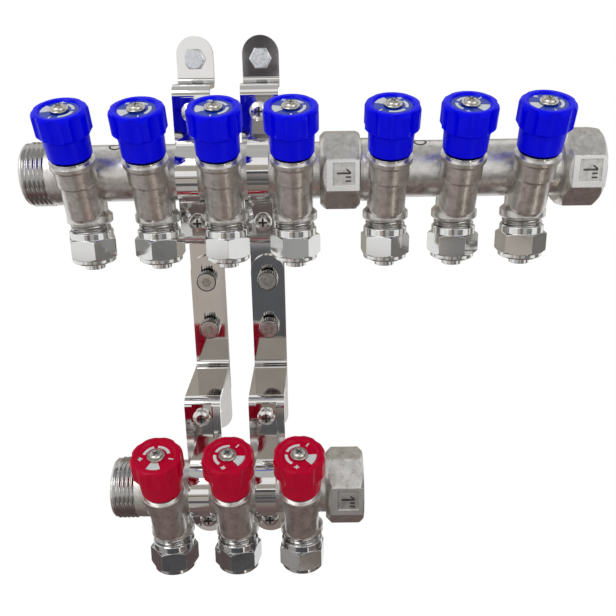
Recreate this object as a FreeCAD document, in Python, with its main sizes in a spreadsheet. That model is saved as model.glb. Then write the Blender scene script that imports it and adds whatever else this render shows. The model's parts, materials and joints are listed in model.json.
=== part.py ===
import FreeCAD, Part
import os
import re
import Sketcher

# Water distribution manifold: two outlet bars with hand valves on a pair of wall brackets.
# Millimetres. +X runs along the bars, +Y points into the wall, +Z is up.
# The origin is on the wall plane, midway between the two upper wall bolts.

SIZES = {
    # places of the bars and brackets
    "valve_pitch": 36.0,
    "joint_pitch": 47.5,
    "bracket_pitch": 36.0,
    "wall_gap": 40.0,
    "bolt_rise": 56.0,
    "lower_drop": 170.0,
    "lower_reach": 30.0,
    "lower_turn": -4.5,
    "lower_shift": 1.0,
    # bar: tube, male end, octagon end
    "pipe_d": 29.2,
    "bore_d": 24.0,
    "thread_d": 32.0,
    "thread_len": 15.0,
    "thread_edge": 1.0,
    "shoulder_d": 32.4,
    "end_reach": 31.0,
    "shoulder_reach": 7.0,
    "oct_sides": 8,
    "oct_flats": 38.3,
    "oct_len": 20.5,
    "oct_reach": 13.5,
    "last_oct_reach": 16.5,
    "oct_bevel": 3.6,
    "oct_rim": 1.6,
    "oct_edge": 0.8,
    "tap_d": 30.3,
    "tap_depth": 17.0,
    "joint_depth": 14.0,
    "joint_play": 0.05,
    # valve barrel, sloping in front of the tube
    "valve_tilt": 22.5,
    "barrel_reach": 20.0,
    "barrel_top": 11.5,
    "collar_d": 22.6,
    "collar_len": 3.6,
    "barrel_d": 20.4,
    "barrel_step": -1.5,
    "barrel_low_d": 18.4,
    "barrel_end": -21.5,
    "barrel_round": 2.6,
    "round_share": 0.3,
    # valve chamber, seat and port
    "chamber_d": 14.8,
    "seat_level": -14.0,
    "seat_d": 10.0,
    "seat_end": -19.4,
    "port_d": 9.0,
    # outlet below the barrel
    "outlet_reach": 5.0,
    "neck_d": 19.2,
    "outlet_collar_d": 23.6,
    "outlet_collar_top": -20.6,
    "outlet_collar_end": -25.0,
    "outlet_thread_d": 19.6,
    "outlet_end": -39.5,
    "outlet_bore_d": 13.0,
    "outlet_bore_top": -15.0,
    # bonnet screwed into the barrel
    "bonnet_d": 17.0,
    "bonnet_flange_d": 20.2,
    "bonnet_flange_len": 1.5,
    "bonnet_neck_d": 11.6,
    "bonnet_neck_top": 20.0,
    "bonnet_seat": 3.0,
    "bonnet_skirt_d": 14.4,
    "bonnet_skirt_end": -4.0,
    "gland_level": 5.0,
    "guide_flats": 9.8,
    "guide_top": 2.9,
    # stem and plug
    "stem_d": 7.0,
    "stem_play": 0.06,
    "stem_collar_d": 9.2,
    "stem_collar_low": 3.0,
    "stem_screw_d": 5.0,
    "stem_end": -4.0,
    "stem_seat": 27.0,
    "stem_head_d": 6.0,
    "stem_top": 34.6,
    "plug_flats": 9.6,
    "plug_top": 2.8,
    "plug_disc_d": 13.2,
    "plug_disc_len": 3.2,
    "plug_face": -10.2,
    "plug_bore_end": -7.4,
    # knob
    "knob_low": 14.6,
    "knob_len": 23.6,
    "skirt_d": 21.6,
    "skirt_top_d": 22.3,
    "skirt_len": 10.4,
    "knob_slope": 2.0,
    "grip_d": 26.8,
    "knob_edge": 1.9,
    "dish_d": 20.0,
    "dish_depth": 1.0,
    "knob_hollow_d": 16.6,
    "knob_screw_d": 4.2,
    "flute_count": 8,
    "flute_d": 13.0,
    "flute_depth": 1.2,
    # clamp nut with its insert and olive
    "nut_top": -28.6,
    "nut_hex_top": -32.4,
    "nut_hex_end": -43.4,
    "nut_end": -46.0,
    "nut_flats": 23.0,
    "nut_collar_d": 22.6,
    "nut_bevel": 0.5,
    "nut_toe": 0.8,
    "nut_toe_len": 0.8,
    "nut_crown_len": 1.2,
    "nut_hole_d": 16.8,
    "nut_thread_play": 0.15,
    "insert_flange_d": 18.8,
    "insert_flange_len": 1.5,
    "insert_spigot_d": 12.6,
    "insert_spigot_len": 6.5,
    "insert_tail_d": 10.4,
    "insert_bore_d": 7.6,
    "insert_end": -49.5,
    "olive_bore_d": 16.0,
    "olive_d": 19.2,
    "olive_len": 2.4,
    "olive_bevel": 1.0,
    # brackets of bent strip
    "strip_wid": 20.0,
    "strip_thick": 2.5,
    "bend_in": 3.0,
    "end_flat": 0.1,
    "tab_rise": 12.0,
    "hat_half": 43.3,
    "back_foot": 170.0,
    "wall_hole_d": 6.5,
    "arch_rise": 14.4,
    "shelf_drop": 124.0,
    "drop_foot": 40.0,
    "slot_drop": 69.0,
    "slot_pitch": 30.0,
    "slot_wid": 7.0,
    "slot_above": 7.4,
    "slot_below": 1.6,
    # clamp straps and screws
    "strap_wid": 11.0,
    "strap_thick": 2.0,
    "clamp_reach": 29.5,
    "lower_clamp_top": 36.5,
    "clamp_margin": 7.5,
    "clamp_screw_d": 4.8,
    "clamp_hole_d": 5.4,
    "clamp_head_d": 10.0,
    "clamp_head_len": 3.4,
    "clamp_edge_len": 1.2,
    "clamp_dome_d": 8.6,
    "clamp_dome_len": 2.4,
    "clamp_cap_d": 5.5,
    "clamp_cap_len": 3.2,
    "clamp_screw_len": 9.0,
    "cross_len": 4.8,
    "cross_wid": 1.1,
    "cross_depth": 1.8,
    "slot_screw_d": 6.0,
    "slot_head_d": 11.2,
    "slot_head_len": 6.0,
    "slot_head_edge": 0.6,
    "slot_tip_back": 0.25,
    "socket_flats": 5.0,
    "socket_depth": 3.2,
    "wall_bolt_d": 6.0,
    "wall_neck_d": 6.3,
    "wall_head_flats": 10.4,
    "wall_head_len": 4.4,
    "wall_crown_d": 9.6,
    "wall_crown_len": 0.9,
    "wall_shank": 24.0,
}

doc = FreeCAD.newDocument("manifold")
sheet = doc.addObject("Spreadsheet::Sheet", "Sizes")
for row, (alias, value) in enumerate(SIZES.items(), start=1):
    sheet.set("A%d" % row, alias)
    sheet.set("B%d" % row, str(value))
    sheet.setAlias("B%d" % row, alias)
doc.recompute()

NODES = []


def sized(text):
    """An expression in which each size named in the sheet points at its cell."""
    return re.sub(r"[a-z_]+", lambda word: "Sizes." + word[0] if word[0] in SIZES else word[0], text)


def bind(item, **sizes):
    """Bind properties of an object to expressions in the sheet's sizes."""
    for name, text in sizes.items():
        item.setExpression(name, sized(text))
    return item


def node(item, label):
    """Name a finished sub-part and list it for export."""
    item.Label = label
    NODES.append(item)
    return item


def placing(x="0", y="0", z="0", turn="0", axis="1; 0; 0"):
    """Expression of a placement: a move, after a turn in degrees about an axis."""
    return (
        "create(<<placement>>; create(<<vector>>; %s; %s; %s);"
        " create(<<rotation>>; create(<<vector>>; %s); %s))" % (x, y, z, axis, turn)
    )


def put(item, *places):
    """Place an object by one or more placements, the outermost first."""
    item.setExpression("Placement", sized(" * ".join(places)))
    return item


def primitive(kind, *places, **sizes):
    """A bound and placed Part primitive."""
    item = bind(doc.addObject("Part::" + kind, kind), **sizes)
    return put(item, *places) if places else item


def hexagon(flats, height, *places):
    """A hexagonal prism along Z with the given width across flats."""
    item = primitive("Prism", *places, Circumradius="(%s) / sqrt(3)" % flats, Height=height)
    item.Polygon = 6
    return item


def joined(kind, items):
    """A fusion or a compound of several objects."""
    item = doc.addObject("Part::" + kind, kind)
    if kind == "Compound":
        item.Links = items
    else:
        item.Shapes = items
    return item


def cut(base, tool):
    """One object less another."""
    item = doc.addObject("Part::Cut", "Cut")
    item.Base = base
    item.Tool = tool
    return item


def common(first, second):
    """What two objects share."""
    item = doc.addObject("Part::Common", "Common")
    item.Base = first
    item.Tool = second
    return item


def plane(body, role):
    """One of a body's own origin planes."""
    return next(item for item in body.Origin.OriginFeatures if item.Role == role)


def outline_sketch(body, role, loops):
    """A sketch of closed polygons whose corners are bound to pairs of expressions."""
    sketch = body.newObject("Sketcher::SketchObject", "Outline")
    sketch.AttachmentSupport = (plane(body, role), [""])
    sketch.MapMode = "FlatFace"
    for loop in loops:
        texts = [(sized(across), sized(along)) for across, along in loop]
        corners = [
            FreeCAD.Vector(float(sheet.evalExpression(across)), float(sheet.evalExpression(along)), 0)
            for across, along in texts
        ]
        first = sketch.GeometryCount
        count = len(corners)
        for index in range(count):
            sketch.addGeometry(Part.LineSegment(corners[index], corners[(index + 1) % count]), False)
        for index in range(count):
            after = first + (index + 1) % count
            sketch.addConstraint(Sketcher.Constraint("Coincident", first + index, 2, after, 1))
        for index, (across, along) in enumerate(texts):
            for kind, text, value in (
                ("DistanceX", across, corners[index].x),
                ("DistanceY", along, corners[index].y),
            ):
                number = sketch.addConstraint(
                    Sketcher.Constraint(kind, -1, 1, first + index, 1, value)
                )
                sketch.setExpression("Constraints[%d]" % number, text)
    return sketch


def turned(name, corners):
    """A body turned about its own Z from (radius, height) corners."""
    body = doc.addObject("PartDesign::Body", name)
    sketch = outline_sketch(body, "XZ_Plane", [corners])
    turning = body.newObject("PartDesign::Revolution", "Turning")
    turning.Profile = sketch
    turning.ReferenceAxis = (sketch, ["V_Axis"])
    turning.Angle = 360.0
    body.Tip = turning
    return body


def rounded(body, picks, radius):
    """Round the edges of a body's tip that a test picks out."""
    doc.recompute()
    base = body.Tip
    names = ["Edge%d" % (n + 1) for n, edge in enumerate(base.Shape.Edges) if picks(edge)]
    item = body.newObject("PartDesign::Fillet", "Round")
    item.Base = (base, names)
    bind(item, Radius=radius)
    body.Tip = item
    return body


# Places that several sub-parts share

TILT = "valve_tilt"
SIDES = {"left": "-bracket_pitch / 2", "right": "bracket_pitch / 2"}
BARS = {
    "upper_left": {
        "valves": ["(%d) * valve_pitch" % step for step in (-2, -1, 0, 1)],
        "start": "-end_reach - 2 * valve_pitch",
        "oct_reach": "oct_reach",
        "tap_d": "thread_d + 2 * joint_play",
        "tap_depth": "joint_depth",
        "deck": "upper",
        "names": ["blue_%d" % number for number in (1, 2, 3, 4)],
    },
    "upper_right": {
        "valves": ["(valve_pitch + joint_pitch + %d * valve_pitch)" % step for step in (0, 1, 2)],
        "start": "valve_pitch + oct_reach + oct_len - joint_depth",
        "oct_reach": "last_oct_reach",
        "tap_d": "tap_d",
        "tap_depth": "tap_depth",
        "deck": "upper",
        "names": ["blue_%d" % number for number in (5, 6, 7)],
    },
    "lower": {
        "valves": ["(lower_shift + (%d) * valve_pitch)" % step for step in (-1, 0, 1)],
        "start": "lower_shift - end_reach - valve_pitch",
        "oct_reach": "oct_reach",
        "tap_d": "tap_d",
        "tap_depth": "tap_depth",
        "deck": "lower",
        "names": ["red_%d" % number for number in (1, 2, 3)],
    },
}
DECKS = {
    "upper": {"y": "-wall_gap", "z": "-bolt_rise", "turn": "0", "clamp_top": "clamp_reach"},
    "lower": {
        "y": "-(wall_gap + lower_reach)",
        "z": "-(bolt_rise + lower_drop)",
        "turn": "lower_turn",
        "clamp_top": "lower_clamp_top",
    },
}
NEAR = 0.01
MOSTLY = 0.9


def deck_place(deck):
    """Placement of a bar's axis."""
    spot = DECKS[deck]
    return placing("0", spot["y"], spot["z"], spot["turn"])


def valve_place(x):
    """Placement of a valve's sloping axis on its bar."""
    return placing(x, "-barrel_reach", "0", TILT)


def outlet_place(x):
    """Placement of a valve's outlet axis on its bar."""
    return placing(x, "-outlet_reach", "0")


def along_bar(x):
    """Placement that lays a Z axis along the bar from a given X."""
    return placing(x, "0", "0", "90", "0; 1; 0")


# Bars


def bar_tube(bar):
    """Male end, shoulder and tube of a bar, turned about the bar's axis."""
    first = bar["valves"][0]
    thread_end = "thread_len"
    shoulder_end = "%s - shoulder_reach - (%s)" % (first, bar["start"])
    tube_end = "%s + %s + oct_bevel - (%s)" % (bar["valves"][-1], bar["oct_reach"], bar["start"])
    body = turned(
        "Tube",
        [
            ("0", "0"),
            ("thread_d / 2 - thread_edge", "0"),
            ("thread_d / 2", "thread_edge"),
            ("thread_d / 2", thread_end),
            ("shoulder_d / 2", thread_end),
            ("shoulder_d / 2", shoulder_end),
            ("pipe_d / 2", "%s + (shoulder_d - pipe_d) / 2" % shoulder_end),
            ("pipe_d / 2", tube_end),
            ("0", tube_end),
        ],
    )
    return put(body, along_bar(bar["start"]))


def bar_octagon(bar):
    """Octagon end, bevelled towards the tube and edged at its open face."""
    start = "%s + %s" % (bar["valves"][-1], bar["oct_reach"])
    flat_in_front = placing(turn="180 / oct_sides", axis="0; 0; 1")
    prism = primitive(
        "Prism",
        along_bar(start),
        flat_in_front,
        Polygon="oct_sides",
        Circumradius="oct_flats / 2 / cos(180 / oct_sides)",
        Height="oct_len",
    )
    rim = "oct_flats / 2 - oct_rim"
    face = "oct_flats / 2 - oct_edge"
    envelope = turned(
        "Bevel",
        [
            ("0", "0"),
            (rim, "0"),
            (rim + " + oct_bevel", "oct_bevel"),
            (rim + " + oct_bevel", "oct_len - (%s + oct_bevel - (%s))" % (rim, face)),
            (face, "oct_len"),
            ("0", "oct_len"),
        ],
    )
    return common(prism, put(envelope, along_bar(start)))


def barrel(x):
    """Valve barrel with its collar, shoulder and rounded closed end."""
    low = "barrel_low_d / 2"
    body = turned(
        "Barrel",
        [
            ("0", "barrel_end"),
            (low + " - barrel_round", "barrel_end"),
            (low + " - round_share * barrel_round", "barrel_end + round_share * barrel_round"),
            (low, "barrel_end + barrel_round"),
            (low, "barrel_step"),
            ("barrel_d / 2", "barrel_step + (barrel_d - barrel_low_d) / 2"),
            ("barrel_d / 2", "barrel_top - collar_len"),
            ("collar_d / 2", "barrel_top - collar_len + (collar_d - barrel_d) / 2"),
            ("collar_d / 2", "barrel_top"),
            ("0", "barrel_top"),
        ],
    )
    return put(body, valve_place(x))


def outlet(x):
    """Outlet neck, collar and threaded end."""
    flare = "(outlet_collar_d - neck_d) / 2"
    body = turned(
        "Outlet",
        [
            ("0", "0"),
            ("neck_d / 2", "0"),
            ("neck_d / 2", "outlet_collar_top + %s" % flare),
            ("outlet_collar_d / 2", "outlet_collar_top"),
            ("outlet_collar_d / 2", "outlet_collar_end + thread_edge"),
            ("outlet_collar_d / 2 - thread_edge", "outlet_collar_end"),
            ("outlet_thread_d / 2", "outlet_collar_end"),
            ("outlet_thread_d / 2", "outlet_end + thread_edge / 2"),
            ("outlet_thread_d / 2 - thread_edge / 2", "outlet_end"),
            ("0", "outlet_end"),
        ],
    )
    return put(body, outlet_place(x))


def valve_cutters(x):
    """Chamber with its seat, port from the tube and outlet bore of one valve."""
    chamber = turned(
        "Chamber",
        [
            ("0", "seat_end"),
            ("seat_d / 2", "seat_end"),
            ("seat_d / 2", "seat_level"),
            ("chamber_d / 2", "seat_level"),
            ("chamber_d / 2", "bonnet_seat"),
            ("bonnet_d / 2", "bonnet_seat"),
            ("bonnet_d / 2", "barrel_top"),
            ("0", "barrel_top"),
        ],
    )
    put(chamber, valve_place(x))
    port = primitive(
        "Cylinder",
        placing(x, "0", "0", "90 + valve_tilt"),
        Radius="port_d / 2",
        Height="barrel_reach * cos(valve_tilt)",
    )
    bore = primitive(
        "Cylinder",
        placing(x, "-outlet_reach", "outlet_end"),
        Radius="outlet_bore_d / 2",
        Height="outlet_bore_top - outlet_end",
    )
    return [chamber, port, bore]


def bar_bore(bar):
    """Water way along a bar, with the tapped socket in its octagon."""
    end = "%s + %s + oct_len - (%s)" % (bar["valves"][-1], bar["oct_reach"], bar["start"])
    socket = "%s - (%s)" % (end, bar["tap_depth"])
    body = turned(
        "Bore",
        [
            ("0", "0"),
            ("bore_d / 2", "0"),
            ("bore_d / 2", socket),
            ("(%s) / 2" % bar["tap_d"], socket),
            ("(%s) / 2" % bar["tap_d"], end),
            ("0", end),
        ],
    )
    return put(body, along_bar(bar["start"]))


def make_bar(name, bar):
    """One bar with all its barrels and outlets, cut hollow."""
    solids = [bar_tube(bar), bar_octagon(bar)]
    cutters = [bar_bore(bar)]
    for x in bar["valves"]:
        solids += [barrel(x), outlet(x)]
        cutters += valve_cutters(x)
    item = cut(joined("MultiFuse", solids), joined("MultiFuse", cutters))
    return node(put(item, deck_place(bar["deck"])), "bar_" + name)


# Valve pieces


def bonnet():
    """Bonnet: flange, neck around the stem and six-sided guide for the plug."""
    body = turned(
        "Bonnet",
        [
            ("stem_d / 2 + stem_play", "gland_level"),
            ("stem_d / 2 + stem_play", "bonnet_neck_top"),
            ("bonnet_neck_d / 2", "bonnet_neck_top"),
            ("bonnet_neck_d / 2", "barrel_top + bonnet_flange_len"),
            ("bonnet_flange_d / 2", "barrel_top + bonnet_flange_len"),
            ("bonnet_flange_d / 2", "barrel_top"),
            ("bonnet_d / 2", "barrel_top"),
            ("bonnet_d / 2", "bonnet_seat"),
            ("bonnet_skirt_d / 2", "bonnet_seat"),
            ("bonnet_skirt_d / 2", "bonnet_skirt_end"),
            ("guide_flats / 2", "bonnet_skirt_end"),
            ("guide_flats / 2", "gland_level"),
        ],
    )
    guide = hexagon("guide_flats", "guide_top - bonnet_skirt_end", placing(z="bonnet_skirt_end"))
    return cut(body, guide)


def stem():
    """Stem that turns without rising: screw, thrust collar, shaft and knob seat."""
    return turned(
        "Stem",
        [
            ("0", "stem_end"),
            ("stem_screw_d / 2", "stem_end"),
            ("stem_screw_d / 2", "stem_collar_low"),
            ("stem_collar_d / 2", "stem_collar_low"),
            ("stem_collar_d / 2", "gland_level - stem_play"),
            ("stem_d / 2", "gland_level - stem_play"),
            ("stem_d / 2", "stem_seat"),
            ("stem_head_d / 2", "stem_seat"),
            ("stem_head_d / 2", "stem_top"),
            ("0", "stem_top"),
        ],
    )


def plug():
    """Plug that slides in the bonnet's guide and closes the seat with its disc."""
    disc_top = "plug_face + plug_disc_len"
    guide = hexagon("plug_flats", "plug_top - (%s)" % disc_top, placing(z=disc_top))
    disc = primitive(
        "Cylinder", placing(z="plug_face"), Radius="plug_disc_d / 2", Height="plug_disc_len"
    )
    tapped = primitive(
        "Cylinder",
        placing(z="plug_bore_end"),
        Radius="stem_screw_d / 2 + stem_play",
        Height="plug_top - plug_bore_end",
    )
    return cut(joined("MultiFuse", [guide, disc]), tapped)


def knob():
    """Knob: hollow skirt, fluted grip and a dished top."""
    top = "knob_low + knob_len"
    step = "knob_low + skirt_len"
    grip = "grip_d / 2"
    body = turned(
        "Knob",
        [
            ("knob_screw_d / 2", "stem_top"),
            ("knob_screw_d / 2", top + " - dish_depth"),
            ("dish_d / 2 - dish_depth", top + " - dish_depth"),
            ("dish_d / 2", top),
            (grip + " - knob_edge", top),
            (grip + " - round_share * knob_edge", top + " - round_share * knob_edge"),
            (grip, top + " - knob_edge"),
            (grip, step + " + knob_slope"),
            ("skirt_top_d / 2", step),
            ("skirt_d / 2", "knob_low"),
            ("knob_hollow_d / 2", "knob_low"),
            ("knob_hollow_d / 2", "stem_seat"),
            ("stem_head_d / 2", "stem_seat"),
            ("stem_head_d / 2", "stem_top"),
        ],
    )
    sketch = body.newObject("Sketcher::SketchObject", "FluteCircle")
    sketch.AttachmentSupport = (plane(body, "XY_Plane"), [""])
    sketch.MapMode = "FlatFace"
    bind(sketch, **{"AttachmentOffset.Base.z": top})
    reach = "grip_d / 2 + flute_d / 2 - flute_depth"
    middle = FreeCAD.Vector(float(sheet.evalExpression(sized(reach))), 0, 0)
    circle = Part.Circle(middle, FreeCAD.Vector(0, 0, 1), SIZES["flute_d"] / 2)
    sketch.addGeometry(circle, False)
    across = sketch.addConstraint(Sketcher.Constraint("DistanceX", -1, 1, 0, 3, middle.x))
    sketch.setExpression("Constraints[%d]" % across, sized(reach))
    sketch.addConstraint(Sketcher.Constraint("PointOnObject", 0, 3, -1))
    radius = sketch.addConstraint(Sketcher.Constraint("Radius", 0, SIZES["flute_d"] / 2))
    sketch.setExpression("Constraints[%d]" % radius, sized("flute_d / 2"))
    flute = body.newObject("PartDesign::Pocket", "Flute")
    flute.Profile = sketch
    bind(flute, Length="knob_len - skirt_len")
    ring = body.newObject("PartDesign::PolarPattern", "Flutes")
    ring.Originals = [flute]
    ring.Axis = (sketch, ["N_Axis"])
    ring.Angle = 360.0
    bind(ring, Occurrences="flute_count")
    body.Tip = ring
    return body


def nut():
    """Clamp nut: round collar, hexagon and rim over a stepped bore."""
    sleeve = turned(
        "NutSleeve",
        [
            ("0", "nut_end"),
            ("nut_collar_d / 2 - nut_toe", "nut_end"),
            ("nut_collar_d / 2", "nut_end + nut_toe_len"),
            ("nut_collar_d / 2", "nut_top - nut_bevel"),
            ("nut_collar_d / 2 - nut_bevel", "nut_top"),
            ("0", "nut_top"),
        ],
    )
    prism = hexagon("nut_flats", "nut_hex_top - nut_hex_end", placing(z="nut_hex_end"))
    corner = "nut_flats / sqrt(3)"
    bevel = "%s - nut_flats / 2" % corner
    envelope = turned(
        "NutBevel",
        [
            ("0", "nut_hex_end"),
            ("nut_flats / 2", "nut_hex_end"),
            (corner, "nut_hex_end + nut_crown_len"),
            (corner, "nut_hex_top - (%s) / 2" % bevel),
            ("nut_flats / 2", "nut_hex_top"),
            ("0", "nut_hex_top"),
        ],
    )
    seat = "outlet_end - insert_flange_len - olive_len"
    thread = "outlet_thread_d / 2 + nut_thread_play"
    slope = "olive_d / 2 - olive_bevel"
    bore = turned(
        "NutBore",
        [
            ("0", "nut_end"),
            ("nut_hole_d / 2", "nut_end"),
            ("nut_hole_d / 2", "%s - (%s - nut_hole_d / 2)" % (seat, slope)),
            (thread, "%s + (%s - (%s))" % (seat, thread, slope)),
            (thread, "nut_top"),
            ("0", "nut_top"),
        ],
    )
    return cut(joined("MultiFuse", [sleeve, common(prism, envelope)]), bore)


def insert():
    """Insert: spigot in the outlet, sealing flange and hose tail."""
    flange = "outlet_end - insert_flange_len"
    return turned(
        "Insert",
        [
            ("insert_bore_d / 2", "insert_end"),
            ("insert_tail_d / 2", "insert_end"),
            ("insert_tail_d / 2", flange),
            ("insert_flange_d / 2", flange),
            ("insert_flange_d / 2", "outlet_end"),
            ("insert_spigot_d / 2", "outlet_end"),
            ("insert_spigot_d / 2", "outlet_end + insert_spigot_len"),
            ("insert_bore_d / 2", "outlet_end + insert_spigot_len"),
        ],
    )


def olive():
    """Ring that the nut presses on the hose."""
    top = "outlet_end - insert_flange_len"
    low = top + " - olive_len"
    return turned(
        "Olive",
        [
            ("olive_bore_d / 2", low),
            ("olive_d / 2 - olive_bevel", low),
            ("olive_d / 2", low + " + olive_bevel"),
            ("olive_d / 2", top),
            ("olive_bore_d / 2", top),
        ],
    )


NUT_TURNS = [49, 21, 37, 2, 39, 49, 42, 8, 17, 23]


def make_valves(name, bar, nut_turns):
    """The bonnets, nuts, inserts and olives of one bar, then its moving pieces."""
    deck = deck_place(bar["deck"])
    groups = {"bonnets": [], "nuts": [], "inserts": [], "olives": []}
    for x, turn in zip(bar["valves"], nut_turns):
        groups["bonnets"].append(put(bonnet(), deck, valve_place(x)))
        wrench = placing(turn=str(turn), axis="0; 0; 1")
        groups["nuts"].append(put(nut(), deck, outlet_place(x), wrench))
        groups["inserts"].append(put(insert(), deck, outlet_place(x)))
        groups["olives"].append(put(olive(), deck, outlet_place(x)))
    for kind, items in groups.items():
        node(joined("Compound", items), "%s_%s" % (kind, name))
    for x, valve in zip(bar["valves"], bar["names"]):
        for kind, maker in (("stem", stem), ("plug", plug), ("knob", knob)):
            node(put(maker(), deck, valve_place(x)), "%s_%s" % (kind, valve))


# Brackets, straps and fasteners


def strip(outline):
    """Bent strip from its side outline, with rounded bends and ends."""
    body = doc.addObject("PartDesign::Body", "Strip")
    sketch = outline_sketch(body, "YZ_Plane", [outline])
    pad = body.newObject("PartDesign::Pad", "Width")
    pad.Profile = sketch
    pad.SideType = "Symmetric"
    bind(pad, Length="strip_wid")
    body.Tip = pad
    return body


def edge_at(edge, axis, spots):
    """True for an edge along X or Y whose Y and Z are near one of the spots."""
    first = edge.Vertexes[0].Point
    last = edge.Vertexes[-1].Point
    run = last - first
    if abs(getattr(run, axis)) < MOSTLY * run.Length:
        return False
    middle = (first + last) / 2
    return any(abs(middle.z - z) < NEAR and (y is None or abs(middle.y - y) < NEAR) for y, z in spots)


def number(text):
    """Value of an expression in the sheet's sizes."""
    return float(sheet.evalExpression(sized(text)))


def bends(body, inner, outer, ends):
    """Round the inner and outer corners of a bent strip, then its free ends."""
    inner_spots = [(number(y), number(z)) for y, z in inner]
    outer_spots = [(number(y), number(z)) for y, z in outer]
    end_spots = [(None, number(z)) for z in ends]
    rounded(body, lambda edge: edge_at(edge, "x", inner_spots), "bend_in")
    rounded(body, lambda edge: edge_at(edge, "x", outer_spots), "bend_in + strip_thick")
    return rounded(body, lambda edge: edge_at(edge, "y", end_spots), "strip_wid / 2 - end_flat")


def drilled(base, holes):
    """A strip less round holes along Y, given as (diameter, height)."""
    drills = [
        primitive(
            "Cylinder",
            placing("0", "-2 * wall_gap", z, "-90"),
            Radius="(%s) / 2" % diameter,
            Height="2 * wall_gap",
        )
        for diameter, z in holes
    ]
    return cut(base, joined("MultiFuse", drills))


def make_wall_bracket(side, x):
    """Hat-shaped wall bracket: tab, clamp plate behind the bar and long back plate."""
    back = "0"
    face = "-strip_thick"
    plate = "-(wall_gap - pipe_d / 2)"
    plate_back = plate + " + strip_thick"
    axis = "-bolt_rise"
    top = axis + " + hat_half"
    low = axis + " - hat_half"
    top_in = top + " - strip_thick"
    low_in = low + " + strip_thick"
    foot = axis + " - back_foot"
    outline = [
        (back, "tab_rise"),
        (face, "tab_rise"),
        (face, top),
        (plate, top),
        (plate, low),
        (face, low),
        (face, foot),
        (back, foot),
        (back, low_in),
        (plate_back, low_in),
        (plate_back, top_in),
        (back, top_in),
    ]
    inner = [(face, top), (plate_back, low_in), (plate_back, top_in), (face, low)]
    outer = [(plate, top), (plate, low), (back, low_in), (back, top_in)]
    body = bends(strip(outline), inner, outer, ["tab_rise", foot])
    slots = [
        ("slot_screw_d", axis + " - slot_drop"),
        ("slot_screw_d", axis + " - slot_drop - slot_pitch"),
    ]
    holes = [
        ("wall_hole_d", "0"),
        ("wall_hole_d", foot + " + tab_rise"),
        ("clamp_screw_d", axis + " + clamp_reach"),
        ("clamp_screw_d", axis + " - clamp_reach"),
    ]
    item = drilled(body, slots + holes)
    return node(put(item, placing(x)), "wall_bracket_" + side)


def make_drop_bracket(side, x):
    """Lower bracket: slotted plate on the wall bracket, shelf and clamp plate of the lower bar."""
    back = "-strip_thick"
    face = "-2 * strip_thick"
    plate = "-(wall_gap + lower_reach - pipe_d / 2)"
    plate_back = plate + " + strip_thick"
    axis = "-bolt_rise"
    lower_axis = "-(bolt_rise + lower_drop)"
    first = axis + " - slot_drop"
    arch = first + " + arch_rise"
    shelf = axis + " - shelf_drop"
    shelf_low = shelf + " - strip_thick"
    foot = lower_axis + " - drop_foot"
    outline = [
        (back, arch),
        (face, arch),
        (face, shelf),
        (plate, shelf),
        (plate, foot),
        (plate_back, foot),
        (plate_back, shelf_low),
        (back, shelf_low),
    ]
    inner = [(face, shelf), (plate_back, shelf_low)]
    outer = [(plate, shelf), (back, shelf_low)]
    body = bends(strip(outline), inner, outer, [arch, foot])
    holes = [
        ("clamp_screw_d", lower_axis + " + lower_clamp_top"),
        ("clamp_screw_d", lower_axis + " - clamp_reach"),
    ]
    middles = []
    for screw in (first, first + " - slot_pitch"):
        low = screw + " - slot_below"
        holes += [("slot_wid", screw + " + slot_above"), ("slot_wid", low)]
        middles.append(
            primitive(
                "Box",
                placing("-slot_wid / 2", "2 * (%s)" % face, low),
                Length="slot_wid",
                Width="-2 * (%s)" % face,
                Height="slot_above + slot_below",
            )
        )
    item = drilled(body, holes)
    item = cut(item, joined("MultiFuse", middles))
    return node(put(item, placing(x)), "drop_bracket_" + side)


def make_strap(name, deck, x):
    """Clamp strap: half ring over the bar, legs and two feet on the bracket plate."""
    body = doc.addObject("PartDesign::Body", "Strap")
    half = "strap_wid / 2"
    near = "pipe_d / 2"
    far = "pipe_d / 2 + strap_thick"
    ring = outline_sketch(
        body, "XZ_Plane", [[("-" + half, near), (half, near), (half, far), ("-" + half, far)]]
    )
    turning = body.newObject("PartDesign::Revolution", "Ring")
    turning.Profile = ring
    turning.ReferenceAxis = (ring, ["H_Axis"])
    turning.Angle = 180.0
    doc.recompute()
    if turning.Shape.CenterOfMass.y > 0:
        turning.Reversed = True
    plate = "pipe_d / 2"
    spot = DECKS[deck]
    reaches = {"": spot["clamp_top"], "-": "clamp_reach"}
    loops = []
    for sign, reach in reaches.items():
        foot = reach + " + clamp_margin"
        leg = [
            ("0", near),
            ("0", far),
            (plate + " - strap_thick", far),
            (plate + " - strap_thick", foot),
            (plate, foot),
            (plate, near),
        ]
        loops.append([(y, "%s(%s)" % (sign, z)) for y, z in leg])
    legs = outline_sketch(body, "YZ_Plane", loops)
    pad = body.newObject("PartDesign::Pad", "Legs")
    pad.Profile = legs
    pad.SideType = "Symmetric"
    bind(pad, Length="strap_wid")
    body.Tip = pad
    drills = [
        primitive(
            "Cylinder", placing("0", "0", sign + reach, "-90"), Radius="clamp_hole_d / 2", Height="pipe_d"
        )
        for sign, reach in reaches.items()
    ]
    item = cut(body, joined("MultiFuse", drills))
    return node(put(item, placing(x, spot["y"], spot["z"])), "strap_%s" % name)


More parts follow.
